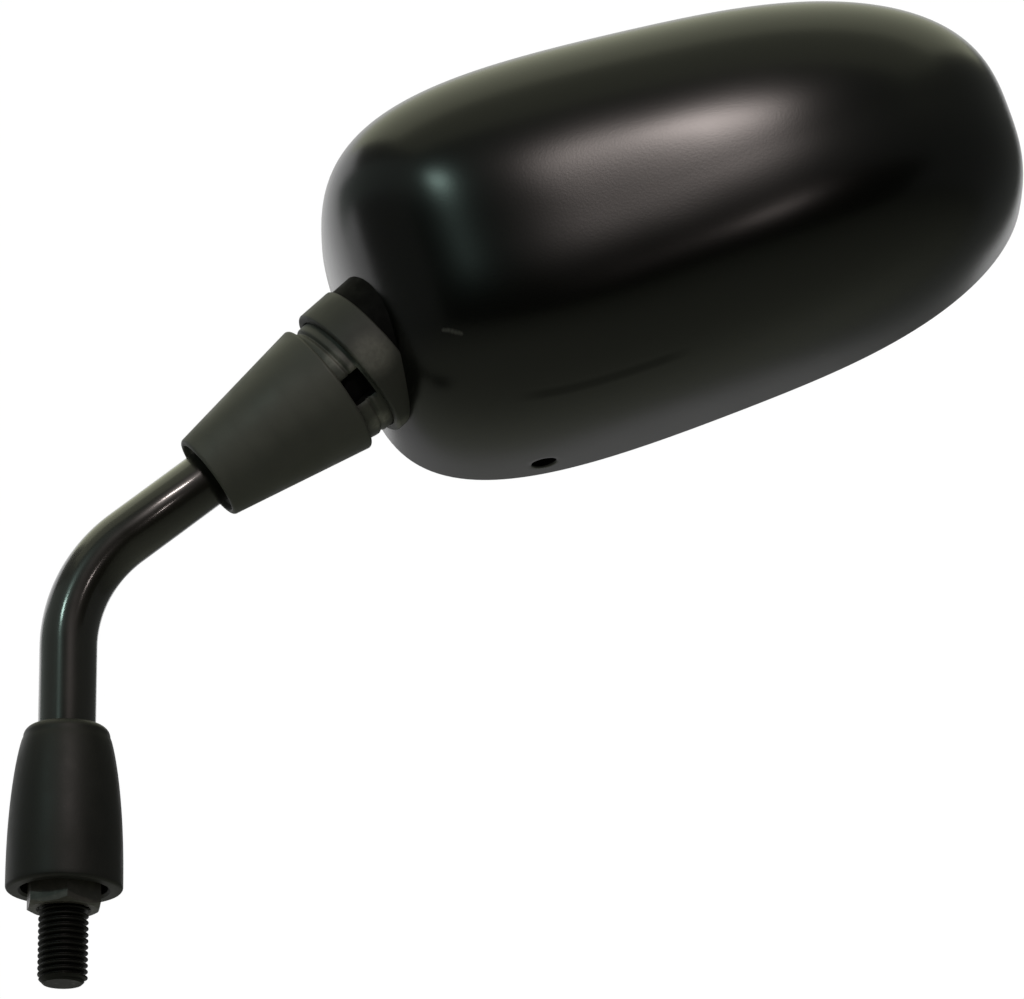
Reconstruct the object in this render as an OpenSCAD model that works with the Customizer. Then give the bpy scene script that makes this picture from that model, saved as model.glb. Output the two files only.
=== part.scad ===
// Left-hand motorcycle mirror: threaded bent stem, rubber base boot, spring-loaded
// ball swivel under a tapered cone, moulded egg-shaped housing and convex glass.
// The origin is the seat plane of the lock nut on the thread axis, +Z up the stem.
// The stem bends towards +X, the back of the housing faces -Y and the glass faces +Y.

/* [Stem] */
// Diameter of the bent steel rod
stem_d = 11.6; // [10:0.1:14]
// Major diameter of the mounting thread
thread_d = 10; // [8:0.5:10]
// Length of thread that shows below the lock nut
thread_out = 15; // [10:1:22]
// Height of the point where the two straight runs would meet
bend_z = 68.5; // [66:0.5:90]
// Centre-line radius of the bend
bend_r = 29; // [20:1:32]
// Rise of the upper run above the horizontal
neck_angle = 38; // [25:1:50]
// Distance along the upper run from that point to the swivel centre
neck_len = 69; // [62:0.5:85]
// Diameter of the turned shank that carries the spring
shank_d = 8; // [6:0.5:8]

/* [Lock nut] */
// Width of the nut across its flats
nut_flats = 14; // [14:0.5:16]
// Height of the nut
nut_h = 8; // [5:0.5:9]

/* [Base boot] */
// Height of the boot's lower rim above the nut's seat
boot_z = 4; // [2:0.5:8]
// Overall height of the boot
boot_h = 33.6; // [28:0.2:38]
// Outer diameter at the lower rim
boot_d = 23.4; // [22:0.2:28]
// Outer diameter at the top, below its rounded shoulder
boot_top_d = 17.4; // [16:0.2:20]
// Inner diameter of the open mouth
boot_mouth_d = 17.4; // [17:0.1:20]

/* [Swivel] */
// Diameter of the ball surface on the neck dome
ball_d = 26.4; // [24:0.2:27]
// Running gap between each pair of spherical faces
ball_gap = 0.3; // [0.2:0.05:0.4]
// Wall of the neck dome between its outer and inner spheres
dome_wall = 3.4; // [3:0.1:4]
// Length of the tapered cone
cone_len = 31; // [28:0.5:34]
// Diameter of the cone's small end
cone_small_d = 18.2; // [17:0.2:20]
// Diameter of the cone's rim
cone_rim_d = 29; // [28.6:0.1:31]
// How far the cone's rim lies short of the swivel centre
cone_rim_back = 3.4; // [3:0.1:5]
// Upward tip of the head at rest, from the line of the neck
head_tip = 5; // [0:1:5]
// Diameter of the window through the dome that clears the shank
dome_window_d = 15.2; // [14.4:0.2:16]

/* [Neck collar] */
// Diameter of the moulded collar on the housing
collar_d = 30.2; // [30:0.2:34]
// Distance from the swivel centre to the collar's lower face
collar_start = 1.4; // [1.2:0.1:2.4]
// Length of the collar
collar_len = 8; // [7:0.2:10]
// Diameter of the neck tube that carries on into the housing
neck_tube_d = 29; // [28.8:0.1:30]
// Length of the neck tube beyond the collar
neck_tube_len = 5.6; // [4:0.2:7]

/* [Housing] */
// Half the length of the rim
half_l = 71.7; // [66:0.5:80]
// Half the height of the rim at its middle
half_h = 38.9; // [38:0.1:46]
// Depth from the rim to the back
depth = 53.5; // [48:0.5:58]
// Rim plane's distance behind the neck axis
rim_y = 23.5; // [22:0.5:26]
// Wall thickness of the moulding
wall = 2.5; // [2:0.1:3]
// Narrowing of the egg towards its outer end
taper = 0.133; // [0.05:0.001:0.16]
// Extra narrowing of both ends
pinch = 0.07; // [0:0.005:0.09]
// Squareness of the blunt end by the neck
blunt_sq = 4; // [3:0.1:4.5]
// Squareness of the slim outer end
slim_sq = 2.9; // [2.2:0.1:3.4]
// Squareness of the bowl's section
bowl_sq = 3.2; // [2.6:0.1:3.6]
// Rise of the long axis towards the outer end
head_rise = 18; // [12:1:24]
// Distance out from the swivel centre to the housing's frame
head_out = 68.4; // [64:0.2:76]
// Height of the housing's frame above the swivel centre
head_up = 37.8; // [36:0.2:44]
// Diameter of the drain hole
drain_d = 5; // [3:0.5:6]

/* [Glass] */
// Radius of curvature of the convex glass
glass_r = 1200; // [800:50:2000]
// Thickness of the glass
glass_t = 2.2; // [1.8:0.1:3]
// Thickness of the foam pad that bonds the glass
foam_t = 0.8; // [0.5:0.1:1.5]
// Thickness of the carrier plate
carrier_t = 2; // [1.8:0.1:3]
// Depth of the glass's crown below the rim
glass_sunk = 1; // [0.5:0.1:2]
// Gap between the glass's edge and the wall
glass_gap = 0.6; // [0.4:0.1:1]

/* [Hidden] */
$fn = 64;
eps = 0.01;
fit = 0.05;

stem_r = stem_d / 2;
thread_r = thread_d / 2;
thread_relief = 0.2;
thread_chamfer = 1;
thread_top = nut_h + 4;
shank_r = shank_d / 2;
bend_turn = 90 - neck_angle;
bend_tangent = bend_r * tan(bend_turn / 2);
bend_lap = 0.4;
bend_step = 0.02;

nut_turn = 8;
nut_chamfer = 30;
nut_face = 0.96;
nut_gap = 0.1;

boot_bore_d = stem_d + 2 * fit;
boot_grip = 8;
boot_mouth_h = 9;
boot_round = 2.2;

ball_r = ball_d / 2;
cup_r = ball_r + ball_gap;
dome_in_r = ball_r - dome_wall;
liner_t = 0.8;
liner_r = dome_in_r - ball_gap;
seat_r = liner_r - liner_t - ball_gap;
cone_start = neck_len - cone_rim_back - cone_len;
cup_floor = 3.5;
shoulder_at = neck_len - cup_r - cup_floor;
cone_edge = 0.8;

collar_end = collar_start + collar_len;
tube_end = collar_end + neck_tube_len;
tube_bore_d = ball_d + 0.3;
collar_edge = 0.5;
skirt_in_r = ball_r - 1.6;
flange_t = 2;
plate_t = 1.6;
plate_at = tube_end + flange_t;
plate_r = ball_r + 1.1;
flange_room = 0.3;
lug_at = 18;
lug_r = 3.4;
lug_turn = 35;
clamp_screw_d = 3;
clamp_screw_len = 8;
screw_fit = 0.05;
screw_head_d = 5.6;
screw_head_h = 1.8;
head_side = 0.45;
head_slope = 0.9;
head_slope_w = 0.38;
head_top_w = 0.22;
drive_len = 0.62;
drive_w = 0.22;
notch_turn = -60;
notch_span = 28;
notch_floor = 0.8;
notch_edge = 0.4;
rib_groove_at = -1.1;
rib_groove_w = 0.8;
rib_groove_d = 0.5;
throat_h = 6;

seat_back = 1;
thrust_t = 1;
spring_len = plate_at + plate_t - 0.6;
spring_wire = 1.4;
spring_turns = 6;
spring_mean_r = shank_r + 1.6;
spring_plate_t = 1.5;
spring_plate_r = spring_mean_r + spring_wire / 2;
swivel_nut_flats = shank_d + 5;
swivel_nut_h = 7;
shank_end = neck_len + spring_len + spring_plate_t + swivel_nut_h + 2;

blunt_l = 71.7;
rim_mid = half_l - blunt_l;
slim_l = half_l + rim_mid;
apex_l = -18;
apex_h = -6.5;
loft_pts = 64;
loft_rings = 12;
loft_last = 84;

lens_back = glass_t + foam_t;
carrier_edge = 1.2;
post_r = 3.2;
posts = [
    [-38, half_h - 16.9], [-36, 14.9 - half_h],
    [slim_l - 29.7, half_h - 20.9], [slim_l - 35.7, 20.9 - half_h]
];
carrier_screw_d = 2.4;
carrier_screw_len = 7;
carrier_head_d = 5;
carrier_head_h = 1;
carrier_front = rim_y - glass_sunk - lens_back;
carrier_hole_past = 3;
rib_t = 1.8;
rib_top = -14;
rib_places = [-24, 8 + rim_mid, slim_l - 31.7];
long_rib_h = -4;
long_rib_gap = 20.4;
long_rib_from = long_rib_gap - head_out;
drain_l = -42;
drain_y = 16;

// Frame of the neck: its origin is the bend point and +Z runs up the upper straight.
module on_neck(along = 0) {
    translate([0, 0, bend_z]) rotate([0, bend_turn, 0]) translate([0, 0, along]) children();
}

// Frame of the tipped head at the swivel centre: +Z runs into the housing.
module on_swivel() {
    on_neck(neck_len) rotate([0, -head_tip, 0]) children();
}

// Frame of the housing: X along the egg, Z up its height, Y through its depth. Its origin
// keeps its distance from the blunt end, where the neck enters, when the length changes.
module on_head() {
    on_neck(neck_len) rotate([0, -bend_turn, 0]) translate([head_out, 0, head_up])
        rotate([0, -head_rise, 0]) children();
}

// Point of the rim at an angle, drawn in by an inset.
function rim_point(turn, inset) =
    let (
        c = cos(turn),
        s = sin(turn),
        n = blunt_sq + (slim_sq - blunt_sq) * (1 + c) / 2,
        k = pow(pow(abs(c), n) + pow(abs(s), n), -1 / n)
    )
    [
        rim_mid + (half_l - inset) * c * k,
        (half_h - inset) * (1 - taper * c * k - pinch * pow(c * k, 2)) * s * k
    ];

// Fall of the glass's curve at a distance from its crown.
function sag(r) = glass_r - sqrt(pow(glass_r, 2) - pow(r, 2));

// Distance of a post from that crown, seen from the front.
function from_crown(p) = norm([p[0] - rim_mid, p[1]]);

function rim_outline(inset) = [for (i = [0 : loft_pts - 1]) rim_point(i * 360 / loft_pts, inset)];

// One ring of the bowl, drawn in towards the point where the back is deepest.
function bowl_ring(level, inset) =
    let (
        angle = level * loft_last / loft_rings,
        k = pow(cos(angle), 2 / bowl_sq),
        y = rim_y - (depth - inset) * pow(sin(angle), 2 / bowl_sq)
    )
    [
        for (p = rim_outline(inset))
            [apex_l + k * (p[0] - apex_l), y, apex_h + k * (p[1] - apex_h)]
    ];

// Solid bowl from the rim to the back, with an optional straight rise past the rim.
module bowl(inset, rise = 0) {
    n = loft_pts;
    top = [for (p = rim_outline(inset)) [p[0], rim_y + rise, p[1]]];
    rings = [for (level = [0 : loft_rings]) bowl_ring(level, inset)];
    all_rings = rise > 0 ? concat([top], rings) : rings;
    count = len(all_rings);
    pole = [apex_l, rim_y - (depth - inset), apex_h];
    points = concat([for (ring = all_rings) for (p = ring) p], [pole]);
    sides = [
        for (j = [0 : count - 2]) for (i = [0 : n - 1])
            let (a = j * n + i, b = j * n + (i + 1) % n)
            each [[a + n, b, a], [a + n, b + n, b]]
    ];
    cap = [[for (i = [0 : n - 1]) i]];
    base = (count - 1) * n;
    fan = [for (i = [0 : n - 1]) [base + (i + 1) % n, base + i, count * n]];
    polyhedron(points = points, faces = concat(cap, sides, fan), convexity = 6);
}

// Hexagonal nut body on +Z with its corners turned off at both ends.
module hex_nut(flats, height, bore_r) {
    corner_r = flats / sqrt(3);
    face_r = flats / 2 * nut_face;
    outer_r = corner_r + 1;
    drop = (outer_r - face_r) * tan(nut_chamfer);
    difference() {
        intersection() {
            cylinder(r = corner_r, h = height, $fn = 6);
            rotate_extrude()
                polygon([
                    [0, 0], [face_r, 0], [outer_r, drop],
                    [outer_r, height - drop], [face_r, height], [0, height]
                ]);
        }
        translate([0, 0, -1]) cylinder(r = bore_r, h = height + 2);
    }
}

// Pan-head screw whose seat is at the origin and whose shank runs down -Z.
module pan_screw(d, length, head_d, head_h) {
    difference() {
        union() {
            translate([0, 0, -length]) cylinder(d = d, h = length + eps);
            rotate_extrude()
                polygon([
                    [0, 0], [head_d / 2, 0], [head_d / 2, head_h * head_side],
                    [head_d * head_slope_w, head_h * head_slope], [head_d * head_top_w, head_h], [0, head_h]
                ]);
        }
        translate([0, 0, head_h]) cube([head_d * drive_len, d * drive_w, head_h], center = true);
        translate([0, 0, head_h]) cube([d * drive_w, head_d * drive_len, head_h], center = true);
    }
}

// The rod is two turned runs joined by a bend that starts a little inside each of them.
module stem() {
    run_end = bend_z - bend_tangent + bend_lap;
    relief_r = thread_r - thread_relief;
    color("#1c1c1a") {
        rotate_extrude()
            polygon([
                [0, -thread_out], [thread_r - thread_chamfer, -thread_out],
                [thread_r, thread_chamfer - thread_out], [thread_r, 0], [relief_r, 0],
                [relief_r, thread_top], [stem_r, thread_top + 1], [stem_r, run_end], [0, run_end]
            ]);
        translate([bend_r, 0, bend_z - bend_tangent]) rotate([90, 0, 0]) rotate([0, 0, 180 - bend_turn])
            rotate_extrude(angle = bend_turn) translate([bend_r, 0]) circle(r = stem_r - bend_step);
        on_neck(bend_tangent - bend_lap)
            rotate_extrude()
                polygon([
                    [0, 0], [stem_r, 0], [stem_r, shoulder_at - bend_tangent + bend_lap],
                    [shank_r, shoulder_at - bend_tangent + bend_lap],
                    [shank_r, shank_end - bend_tangent + bend_lap - 1],
                    [shank_r - 1, shank_end - bend_tangent + bend_lap],
                    [0, shank_end - bend_tangent + bend_lap]
                ]);
    }
}

module lock_nut() {
    color("#26231f") translate([0, 0, nut_gap]) rotate([0, 0, nut_turn])
        hex_nut(nut_flats, nut_h, thread_r + fit - thread_relief);
}

// Outer side of the boot as a smooth taper from the rim to the shoulder.
function boot_side(steps) = [
    for (i = [0 : steps])
        let (k = i / steps)
        [
            boot_top_d / 2 + (boot_d - boot_top_d) / 2 * pow(1 - pow(k, 2.2), 0.8),
            boot_z + 0.8 + (boot_h - boot_round - 0.8) * k
        ]
];

module base_boot() {
    top = boot_z + boot_h;
    color("#20201e") rotate_extrude()
        polygon(concat(
            [[boot_mouth_d / 2, boot_z], [boot_d / 2 - 0.8, boot_z]],
            boot_side(12),
            [
                for (a = [22.5 : 22.5 : 90])
                    [boot_top_d / 2 - boot_round * (1 - cos(a)), top - boot_round * (1 - sin(a))]
            ],
            [
                [boot_bore_d / 2, top], [boot_bore_d / 2, top - boot_grip],
                [boot_mouth_d / 2, boot_z + boot_mouth_h]
            ]
        ));
}

module swivel_cone() {
    small_r = cone_small_d / 2;
    rim_r = cone_rim_d / 2;
    color("#262624") on_neck(cone_start)
        difference() {
            rotate_extrude()
                polygon([
                    [0, 0], [small_r - cone_edge, 0], [small_r - cone_edge * 0.3, cone_edge * 0.3],
                    [small_r, cone_edge], [rim_r, cone_len - cone_edge],
                    [rim_r - cone_edge * 0.3, cone_len - cone_edge * 0.3],
                    [rim_r - cone_edge, cone_len], [0, cone_len]
                ]);
            translate([0, 0, -1]) cylinder(r = stem_r + fit, h = shoulder_at - cone_start + 1);
            cylinder(r = shank_r + fit, h = cone_len);
            translate([0, 0, cone_len + cone_rim_back]) sphere(r = cup_r, $fn = 96);
        }
}

module neck_dome() {
    color("#20201e") on_swivel()
        difference() {
            union() {
                sphere(r = ball_r, $fn = 96);
                cylinder(r = ball_r, h = plate_at);
                translate([0, 0, tube_end]) cylinder(r = plate_r, h = flange_t);
            }
            sphere(r = dome_in_r, $fn = 96);
            cylinder(r1 = dome_in_r, r2 = skirt_in_r, h = throat_h);
            translate([0, 0, throat_h - eps]) cylinder(r = skirt_in_r, h = plate_at);
            translate([0, 0, -ball_r - 1]) cylinder(d = dome_window_d, h = ball_r);
            difference() {
                translate([0, 0, rib_groove_at - rib_groove_w / 2])
                    cylinder(r = ball_r + 1, h = rib_groove_w);
                translate([0, 0, rib_groove_at - 1]) cylinder(r = ball_r - rib_groove_d, h = 2);
            }
            rotate([0, 0, notch_turn - notch_span / 2]) translate([0, 0, -cone_rim_back - notch_edge])
                rotate_extrude(angle = notch_span)
                    translate([dome_in_r + notch_floor, 0])
                        square([dome_wall, collar_start + cone_rim_back - notch_edge / 2]);
        }
}

// The two lugs of the clamp plate, on the side where the housing has room for them.
module at_lugs() {
    for (side = [-1, 1]) rotate([0, 0, side * lug_turn]) translate([lug_at, 0, 0]) children();
}

module clamp_plate() {
    color("#8a8a86") on_swivel() translate([0, 0, plate_at])
        difference() {
            union() {
                cylinder(r = plate_r, h = plate_t);
                at_lugs() cylinder(r = lug_r, h = plate_t);
                for (side = [-1, 1]) rotate([0, 0, side * lug_turn])
                    translate([skirt_in_r, -lug_r, 0]) cube([lug_at - skirt_in_r, 2 * lug_r, plate_t]);
            }
            translate([0, 0, -1]) cylinder(r = skirt_in_r, h = plate_t + 2);
            at_lugs() translate([0, 0, -1]) cylinder(d = clamp_screw_d + 0.4, h = plate_t + 2);
        }
}

module clamp_screws() {
    color("#8a8a86") on_swivel() at_lugs() translate([0, 0, plate_at + plate_t])
        pan_screw(clamp_screw_d, clamp_screw_len, screw_head_d, screw_head_h);
}

module seat_liner() {
    color("#d8d4c4") on_swivel()
        difference() {
            sphere(r = liner_r, $fn = 96);
            sphere(r = liner_r - liner_t, $fn = 96);
            translate([0, 0, -seat_back - 0.6]) cylinder(r = ball_r, h = ball_r);
            translate([0, 0, -ball_r]) cylinder(d = shank_d + 3, h = ball_r);
        }
}

module inner_seat() {
    color("#7c7c78") on_neck(neck_len)
        difference() {
            sphere(r = seat_r, $fn = 96);
            translate([0, 0, -seat_back]) cylinder(r = ball_r, h = ball_r);
            translate([0, 0, -ball_r]) cylinder(r = shank_r + fit, h = ball_r);
        }
}

module thrust_washer() {
    color("#d8d4c4") on_neck(neck_len - seat_back)
        difference() {
            cylinder(r = seat_r - 1.4, h = thrust_t);
            translate([0, 0, -1]) cylinder(r = shank_r + fit, h = thrust_t + 2);
        }
}

// Round wire wound on a helix between two closed ends.
module tension_spring() {
    sides = 8;
    steps = spring_turns * 16;
    low = spring_wire / 2;
    climb = spring_len + seat_back - thrust_t - spring_wire;
    rings = [
        for (i = [0 : steps])
            let (
                a = i * 360 * spring_turns / steps,
                k = i / steps,
                z = low + climb * (k - sin(360 * k) / 14)
            )
            [
                for (j = [0 : sides - 1])
                    let (b = j * 360 / sides, r = spring_mean_r + spring_wire / 2 * cos(b))
                    [r * cos(a), r * sin(a), z + spring_wire / 2 * sin(b)]
            ]
    ];
    faces = [
        for (i = [0 : steps - 1]) for (j = [0 : sides - 1])
            let (a = i * sides + j, b = i * sides + (j + 1) % sides)
            each [[a, b, a + sides], [b, b + sides, a + sides]]
    ];
    first = [[for (j = [sides - 1 : -1 : 0]) j]];
    last = [[for (j = [0 : sides - 1]) steps * sides + j]];
    color("#9a9a96") on_neck(neck_len - seat_back + thrust_t)
        polyhedron(points = [for (ring = rings) for (p = ring) p], faces = concat(first, faces, last));
}

module spring_plate() {
    color("#8a8a86") on_neck(neck_len + spring_len)
        difference() {
            cylinder(r = spring_plate_r, h = spring_plate_t);
            translate([0, 0, -1]) cylinder(r = shank_r + fit, h = spring_plate_t + 2);
        }
}

module swivel_nut() {
    color("#8a8a86") on_neck(neck_len + spring_len + spring_plate_t)
        hex_nut(swivel_nut_flats, swivel_nut_h, shank_r + fit);
}

// Posts for the glass carrier and stiffening ribs that stand inside the bowl.
module housing_inside() {
    for (p = posts) translate([p[0], rim_y - depth, p[1]]) rotate([-90, 0, 0])
        cylinder(r = post_r, h = carrier_front - carrier_t - sag(from_crown(p) + post_r) - rim_y + depth);
    for (l = rib_places) translate([l - rib_t / 2, rim_y - depth, -half_h])
        cube([rib_t, rib_top - rim_y + depth, 2 * half_h]);
    translate([long_rib_from, rim_y - depth, long_rib_h - rib_t / 2])
        cube([slim_l - long_rib_from, rib_top - rim_y + depth, rib_t]);
}

// Moulded collar with its two edges chamfered.
module collar() {
    r = collar_d / 2;
    rotate_extrude($fn = 96)
        polygon([
            [0, collar_start], [r - collar_edge, collar_start], [r, collar_start + collar_edge],
            [r, collar_end - collar_edge], [r - collar_edge, collar_end], [0, collar_end]
        ]);
}

module housing_shell() {
    color("#2a2b28")
        difference() {
            union() {
                on_head() bowl(0);
                on_swivel() collar();
                on_swivel() translate([0, 0, collar_start])
                    cylinder(d = neck_tube_d, h = tube_end - collar_start, $fn = 96);
            }
            difference() {
                on_head() bowl(wall, 1);
                on_head() housing_inside();
                on_swivel() cylinder(d = collar_d, h = collar_end, $fn = 96);
                on_swivel() cylinder(d = neck_tube_d, h = tube_end, $fn = 96);
                on_swivel() at_lugs() cylinder(r = lug_r, h = plate_at);
            }
            on_swivel() cylinder(d = tube_bore_d, h = plate_at, $fn = 96);
            on_swivel() translate([0, 0, tube_end])
                cylinder(r = plate_r + flange_room, h = flange_t + plate_t + flange_room, $fn = 96);
            on_swivel() at_lugs() translate([0, 0, plate_at - clamp_screw_len])
                cylinder(d = clamp_screw_d + 2 * screw_fit, h = clamp_screw_len + eps);
            on_head() for (p = posts)
                translate([p[0], carrier_front - carrier_screw_len - carrier_hole_past, p[1]])
                    rotate([-90, 0, 0]) cylinder(d = carrier_screw_d + 2 * screw_fit, h = depth);
            on_head() translate([drain_l, drain_y, -half_h * 1.25])
                cylinder(d = drain_d, h = half_h / 2);
        }
}

// Slice of a convex plate whose front crown lies below the rim by a depth.
module domed_plate(front, thickness, inset) {
    reach = half_l;
    step = reach / 10;
    on_head()
        intersection() {
            translate([rim_mid, rim_y - front, 0]) rotate([-90, 0, 0])
                rotate_extrude($fn = 96)
                    polygon(concat(
                        [for (i = [0 : 10]) [i * step, -sag(i * step)]],
                        [for (i = [10 : -1 : 0]) [i * step, -sag(i * step) - thickness]]
                    ));
            translate([0, rim_y + 1, 0]) rotate([90, 0, 0])
                linear_extrude(depth / 2) polygon(rim_outline(inset));
        }
}

// Seat of each carrier screw's head, sunk into the domed carrier.
module at_carrier_screws() {
    on_head() for (p = posts)
        translate([p[0], carrier_front - sag(from_crown(p)) - carrier_head_h - 0.2, p[1]])
            rotate([-90, 0, 0]) children();
}

module glass_carrier() {
    color("#2a2b28")
        difference() {
            domed_plate(glass_sunk + lens_back, carrier_t, wall + carrier_edge);
            at_carrier_screws() translate([0, 0, -5]) cylinder(d = carrier_screw_d + 0.4, h = 10);
            at_carrier_screws() cylinder(d = carrier_head_d + 0.4, h = 5);
        }
}

module carrier_screws() {
    color("#8a8a86") at_carrier_screws()
        pan_screw(carrier_screw_d, carrier_screw_len, carrier_head_d, carrier_head_h);
}

module foam_pad() {
    color("#303030") domed_plate(glass_sunk + glass_t, foam_t, wall + carrier_edge + 1);
}

module mirror_glass() {
    color("#b8c4c8") domed_plate(glass_sunk, glass_t, wall + glass_gap);
}

stem();
lock_nut();
base_boot();
swivel_cone();
neck_dome();
clamp_plate();
clamp_screws();
seat_liner();
inner_seat();
thrust_washer();
tension_spring();
spring_plate();
swivel_nut();
housing_shell();
glass_carrier();
carrier_screws();
foam_pad();
mirror_glass();
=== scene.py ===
"""Looks of a left-hand motorcycle mirror: moulded housing, painted stem, swivel, nut, boot and glass."""

import math

import bmesh
import bpy
import numpy as np
from mathutils import Matrix, Vector
from mathutils.bvhtree import BVHTree


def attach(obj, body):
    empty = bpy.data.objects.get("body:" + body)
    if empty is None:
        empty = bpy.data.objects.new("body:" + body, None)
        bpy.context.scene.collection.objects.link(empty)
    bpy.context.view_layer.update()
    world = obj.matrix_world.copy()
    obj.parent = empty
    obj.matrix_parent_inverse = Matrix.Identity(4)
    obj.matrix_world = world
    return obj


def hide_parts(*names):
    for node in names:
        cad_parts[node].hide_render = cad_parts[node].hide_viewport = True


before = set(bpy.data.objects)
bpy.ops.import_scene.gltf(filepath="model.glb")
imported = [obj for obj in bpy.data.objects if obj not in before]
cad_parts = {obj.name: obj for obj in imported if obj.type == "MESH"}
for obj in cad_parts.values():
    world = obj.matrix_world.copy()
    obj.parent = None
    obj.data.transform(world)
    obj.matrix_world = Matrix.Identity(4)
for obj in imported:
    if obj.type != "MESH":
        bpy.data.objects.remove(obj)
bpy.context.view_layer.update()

bl_info = {
    "name": "Motorcycle Mirror",
    "version": (1, 0, 0),
    "blender": (4, 5, 0),
    "location": "View3D > Sidebar > Mirror",
    "description": "Builds the visible pieces, finishes and studio of a motorcycle mirror",
    "category": "Object",
}

MM = 0.001


def raised(height):
    """A move up along +Z."""
    return Matrix.Translation((0, 0, height))


# Angles of the solid model, in radians
NECK_TURN = math.radians(52)
HEAD_TIP = math.radians(5)
HEAD_RISE = math.radians(18)

# Places along the stem and the neck, in metres
BEND_Z = 68.5 * MM
BEND_R = 29 * MM
NECK_LEN = 69 * MM
BEND_TANGENT = BEND_R * math.tan(NECK_TURN / 2)
THREAD_OUT = 15 * MM
THREAD_TOP = 12 * MM
RIM_DROP = 3.4 * MM  # from the cone's rim up to the ball's centre
SHOULDER = 3.5 * MM  # from the cone's cup down to the rod's shoulder
TUBE_END = 15 * MM  # from the ball's centre to the neck tube's end
FIT = 0.05 * MM  # clearance round the rod and the shank

# Places of the studio, in metres
FLOOR_Z = -1.3
CEILING_Z = 3.0
BACK_Y = 3.4

# Frames: up the neck from the bend, into the head from the ball's centre, and the housing's own
NECK = raised(BEND_Z) @ Matrix.Rotation(NECK_TURN, 4, "Y")
BALL = NECK @ raised(NECK_LEN)
SWIVEL = BALL @ Matrix.Rotation(-HEAD_TIP, 4, "Y")
HEAD = (
    BALL
    @ Matrix.Rotation(-NECK_TURN, 4, "Y")
    @ Matrix.Translation((68.4 * MM, 0, 37.8 * MM))
    @ Matrix.Rotation(-HEAD_RISE, 4, "Y")
)


def linear(code):
    """Linear colour, with alpha, of an sRGB hex code."""
    parts = [int(code[i : i + 2], 16) / 255 for i in (1, 3, 5)]
    return [c / 12.92 if c <= 0.04045 else ((c + 0.055) / 1.055) ** 2.4 for c in parts] + [1.0]


def length(name, text, mm):
    """A length property whose default is given in millimetres."""
    return bpy.props.FloatProperty(
        name=name, description=text, default=mm * MM, min=0, precision=5, unit="LENGTH", subtype="DISTANCE"
    )


def colour(name, text, code):
    """A colour property whose default is an sRGB hex code."""
    return bpy.props.FloatVectorProperty(
        name=name, description=text, default=linear(code), size=4, min=0, max=1, subtype="COLOR"
    )


class MirrorSizes(bpy.types.PropertyGroup):
    """Sizes of the mirror's visible pieces."""

    stem_d: length("Stem diameter", "Bent steel rod, over its paint", 11.6)
    shank_d: length("Shank diameter", "Turned end of the rod inside the swivel", 8)
    thread_d: length("Thread diameter", "Crest of the mounting thread", 10)
    thread_root_d: length("Thread root", "Root of the mounting thread", 8.5)
    thread_pitch: length("Thread pitch", "Rise of the mounting thread in one turn", 1.25)
    nut_flats: length("Nut flats", "Width of the lock nut across its flats", 14)
    nut_h: length("Nut height", "Height of the lock nut", 8)
    boot_d: length("Boot rim", "Outer diameter of the boot's lower rim", 23.4)
    boot_top_d: length("Boot top", "Outer diameter below the boot's shoulder", 17.4)
    boot_h: length("Boot height", "Overall height of the boot", 33.6)
    cone_small_d: length("Cone small end", "Diameter of the cone where the stem enters", 18.2)
    cone_rim_d: length("Cone rim", "Diameter of the cone's rim by the dome", 29)
    cone_len: length("Cone length", "Length of the tapered cone", 31)
    ball_d: length("Dome diameter", "Ball surface of the neck dome", 26.4)
    collar_d: length("Collar diameter", "Moulded collar of the housing", 30.2)
    half_l: length("Half length", "Half the length of the housing's rim", 71.7)
    half_h: length("Half height", "Half the height of the housing's rim at its middle", 38.9)
    depth: length("Depth", "Housing's depth from its rim to its back", 53.5)
    rim_y: length("Rim plane", "Distance of the rim's plane from the neck's axis", 23.5)
    wall: length("Wall", "Thickness of the moulded housing", 2.5)
    drain_d: length("Drain hole", "Diameter of the drain hole under the housing", 5)
    glass_r: length("Glass curve", "Radius of the convex glass", 1200)
    glass_t: length("Glass thickness", "Thickness of the silvered glass", 2.2)


class MirrorFinishes(bpy.types.PropertyGroup):
    """Colours of the mirror's finishes."""

    housing: colour("Housing", "Moulded ABS of the housing", "#060705")
    paint: colour("Stem paint", "Dipped paint on the steel rod", "#191812")
    nylon: colour("Swivel nylon", "Glass-filled nylon of the cone and the dome, weathered grey", "#4a4b46")
    matt: colour("Matt collar", "Spark-eroded skin of the housing's collar", "#353632")
    rubber: colour("Boot rubber", "Moulded rubber of the base boot", "#11110f")
    nut: colour("Nut steel", "Black oxide on the lock nut", "#37342f")
    thread: colour("Thread steel", "Oiled black oxide of the mounting thread", "#0c0b09")
    zinc: colour("Zinc plate", "Bright zinc on the hidden fittings", "#b4b6b8")
    spring: colour("Spring steel", "Oiled wire of the tension spring", "#8b8c8e")
    natural: colour("Natural nylon", "Unfilled nylon of the liner and the washer", "#d9d4c2")
    foam: colour("Foam", "Closed-cell pad behind the glass", "#1a1a1a")
    silver: colour("Silvering", "Reflecting coat behind the glass", "#e4e9ea")
    floor: colour("Floor", "Pale studio floor", "#b9bbb6")


# Nodes and materials


def add(tree, kind, settings=None, inputs=None):
    """Adds a node, applies its settings, and sets or links each named or numbered input."""
    node = tree.nodes.new(kind)
    for name, value in (settings or {}).items():
        setattr(node, name, value)
    for key, value in (inputs or {}).items():
        if isinstance(value, bpy.types.NodeSocket):
            tree.links.new(value, node.inputs[key])
        else:
            node.inputs[key].default_value = value
    return node


def maths(tree, operation, first, second=0.0):
    """The result of one maths node."""
    return add(tree, "ShaderNodeMath", {"operation": operation}, {0: first, 1: second}).outputs[0]


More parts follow.
